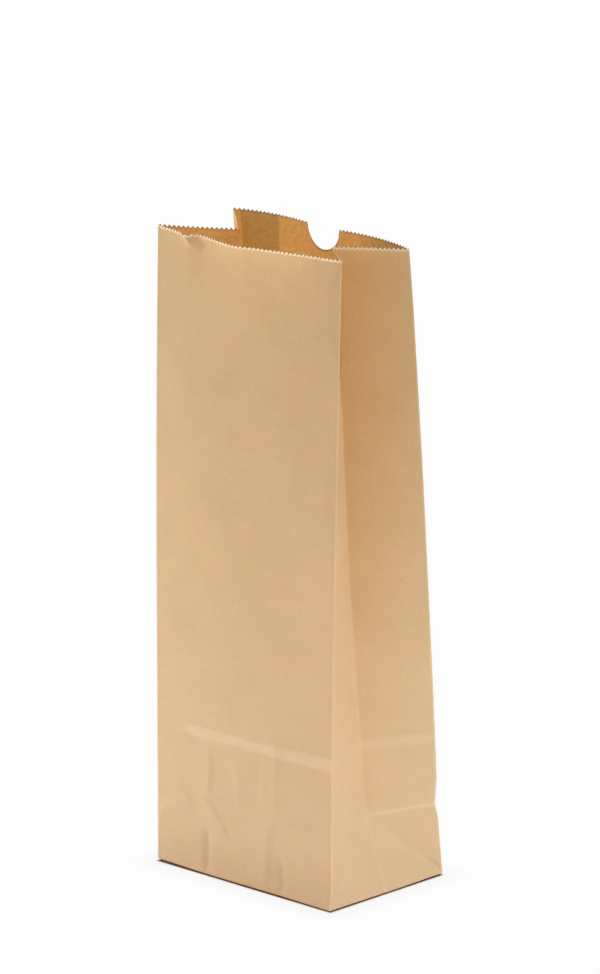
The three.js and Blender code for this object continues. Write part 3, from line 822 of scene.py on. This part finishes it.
    rough = n.ramp(flock, 0.2, 0.8, 0.72, 0.9)
    paper = n.add("ShaderNodeBsdfPrincipled", {
        "Base Color": face, "Roughness": rough, "Normal": bump.outputs[0], "Specular IOR Level": 0.3,
    })
    uneven = n.ramp(n.noise(sheet, 42, 4, 0.72), 0.3, 0.7, -0.32, 0.22)
    formation = n.math("ADD", 1.05, n.math("MULTIPLY", uneven, inside))
    through_colour = n.blend(1.0, colour, (1.15, 1.07, 0.93, 1), "MULTIPLY")
    scaled = n.add("ShaderNodeVectorMath", {0: through_colour, "Scale": formation}, operation="SCALE")
    glow = n.add("ShaderNodeBsdfTranslucent", {"Color": scaled.outputs[0], "Normal": bump.outputs[0]})
    shader = n.add("ShaderNodeMixShader", {0: passing, 1: paper.outputs[0], 2: glow.outputs[0]})
    n.add("ShaderNodeOutputMaterial", {"Surface": shader.outputs[0]})
    return material


def seen_white(n):
    """1 for the rays that show the white background: those of the camera, gloss and transmission."""
    rays = n.add("ShaderNodeLightPath")
    seen = n.math("MAXIMUM", rays.outputs["Is Camera Ray"], rays.outputs["Is Glossy Ray"])
    return n.math("MAXIMUM", seen, rays.outputs["Is Transmission Ray"])


def floor_material():
    """A white floor that shows at full white away from the bag and keeps its shadow near it, with a dark
    brown painted shadow under the bag.
    """
    foot_x, foot_y = 0.0605, 0.040
    painted_contact_shadow, plain = (0.30, 0.17, 0.11, 1), (0.86, 0.86, 0.86, 1)
    material = bpy.data.materials.new("white_floor")
    material.use_nodes = True
    n = Nodes(material.node_tree)
    place = n.add("ShaderNodeNewGeometry")
    split = n.add("ShaderNodeSeparateXYZ", {0: place.outputs["Position"]})
    out_x = n.math("MAXIMUM", n.math("SUBTRACT", n.math("ABSOLUTE", split.outputs[0]), foot_x), 0.0)
    out_y = n.math("MAXIMUM", n.math("SUBTRACT", n.math("ABSOLUTE", split.outputs[1]), foot_y), 0.0)
    away = n.math("SQRT", n.math("ADD", n.math("MULTIPLY", out_x, out_x), n.math("MULTIPLY", out_y, out_y)))
    clear = n.math("ADD", n.ramp(away, 0.0003, 0.0016, 0.0, 0.86), n.ramp(away, 0.0016, 0.016, 0.0, 0.14))
    # Painted shadow: the floor is dark brown where the bag stands.
    shade = n.blend(n.ramp(away, 0.0, 0.0004), painted_contact_shadow, plain)
    floor = n.add("ShaderNodeBsdfDiffuse", {"Color": shade})
    white = n.add("ShaderNodeEmission", {"Color": WHITE, "Strength": 1.0})
    lit = n.math("MULTIPLY", clear, seen_white(n))
    shown = n.add("ShaderNodeMixShader", {0: lit, 1: floor.outputs[0], 2: white.outputs[0]})
    nothing = n.add("ShaderNodeBsdfTransparent")
    below = place.outputs["Backfacing"]
    both = n.add("ShaderNodeMixShader", {0: below, 1: shown.outputs[0], 2: nothing.outputs[0]})
    n.add("ShaderNodeOutputMaterial", {"Surface": both.outputs[0]})
    return material


def make_floor():
    """A wide floor just under the bag. Seen from below it is clear, so that the base shows."""
    half, height = 6.0, -0.00015
    mesh = bpy.data.meshes.new("floor")
    corners = [(-half, -half, height), (half, -half, height), (half, half, height), (-half, half, height)]
    mesh.from_pydata(corners, [], [(0, 1, 2, 3)])
    floor = bpy.data.objects.new("floor", mesh)
    floor.data.materials.append(floor_material())
    bpy.context.scene.collection.objects.link(floor)


def make_world():
    """A weak even light from all round, in front of a white background."""
    world = bpy.data.worlds.new("studio")
    world.use_nodes = True
    bpy.context.scene.world = world
    n = Nodes(world.node_tree)
    light = n.add("ShaderNodeBackground", {"Color": (1.0, 1.0, 0.97, 1), "Strength": 0.34})
    white = n.add("ShaderNodeBackground", {"Color": WHITE, "Strength": 1.0})
    shader = n.add("ShaderNodeMixShader", {0: seen_white(n), 1: light.outputs[0], 2: white.outputs[0]})
    n.add("ShaderNodeOutputWorld", {"Surface": shader.outputs[0]})


def make_lamp(name, place, aim, size, power, colour=(1, 1, 1)):
    """A soft lamp, hidden from the camera, that faces `aim`."""
    data = bpy.data.lights.new(name, "AREA")
    data.shape = "RECTANGLE"
    data.size, data.size_y = size
    data.energy = power
    data.color = colour
    lamp = bpy.data.objects.new(name, data)
    lamp.location = place
    lamp.rotation_mode = "QUATERNION"
    lamp.rotation_quaternion = (Vector(aim) - Vector(place)).to_track_quat("-Z", "Y")
    lamp.visible_camera = False
    bpy.context.scene.collection.objects.link(lamp)


def make_lamps():
    """Strips near the floor light the bag most at its foot. Three large lamps fill in, behind and above."""
    foot, middle = (0, 0, 0.05), (0, 0, 0.15)
    strip, box = (0.5, 0.1), (1.0, 1.0)
    cool, cooler = (0.96, 1.0, 1.06), (0.92, 1.0, 1.07)
    make_lamp("left_strip", (-0.44, -0.34, 0.075), foot, strip, 1.78, cool)
    make_lamp("front_strip", (0.22, -0.45, 0.05), foot, strip, 0.36, cool)
    make_lamp("right_strip", (0.50, -0.05, 0.06), foot, strip, 0.58, cooler)
    make_lamp("right_back_strip", (0.52, 0.20, 0.06), foot, strip, 0.88, cool)
    make_lamp("back_box", (-0.3, 1.4, 0.6), middle, box, 4.5)
    make_lamp("left_back_box", (-1.0, 1.0, 0.8), middle, box, 1.5)
    make_lamp("top_box", (0.0, 0.0, 1.6), middle, box, 8.0)


def make_camera():
    """The photograph's view, as fitted to the bag's corners."""
    azimuth, elevation, roll = (math.radians(angle) for angle in (44.58008, 16.358319, -0.6954617))
    place = (3.51963, -3.5680, 1.66959)
    focal_pixels, frame_pixels, sensor = 10540.45, 974, 36.0
    level_part = math.cos(elevation)
    back = np.array([math.sin(azimuth) * level_part, -math.cos(azimuth) * level_part, math.sin(elevation)])
    level = np.array([math.cos(azimuth), math.sin(azimuth), 0.0])
    steep = np.cross(back, level)
    right = math.cos(roll) * level + math.sin(roll) * steep
    up = -math.sin(roll) * level + math.cos(roll) * steep
    data = bpy.data.cameras.new("camera")
    data.sensor_width = sensor
    data.lens = focal_pixels * sensor / frame_pixels
    data.clip_start, data.clip_end = 0.5, 60.0
    camera = bpy.data.objects.new("camera", data)
    matrix = Matrix.Identity(4)
    for column, axis in enumerate((right, up, back)):
        for row in range(3):
            matrix[row][column] = axis[row]
    for row, value in enumerate(place):
        matrix[row][3] = value
    camera.matrix_world = matrix
    bpy.context.scene.collection.objects.link(camera)
    bpy.context.scene.camera = camera


bag = make_bag()
bag.data.materials.append(paper_material())
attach(bag, "root")
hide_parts("paper_bag")

make_floor()
make_world()
make_lamps()
make_camera()
bpy.context.scene.view_settings.view_transform = "Standard"
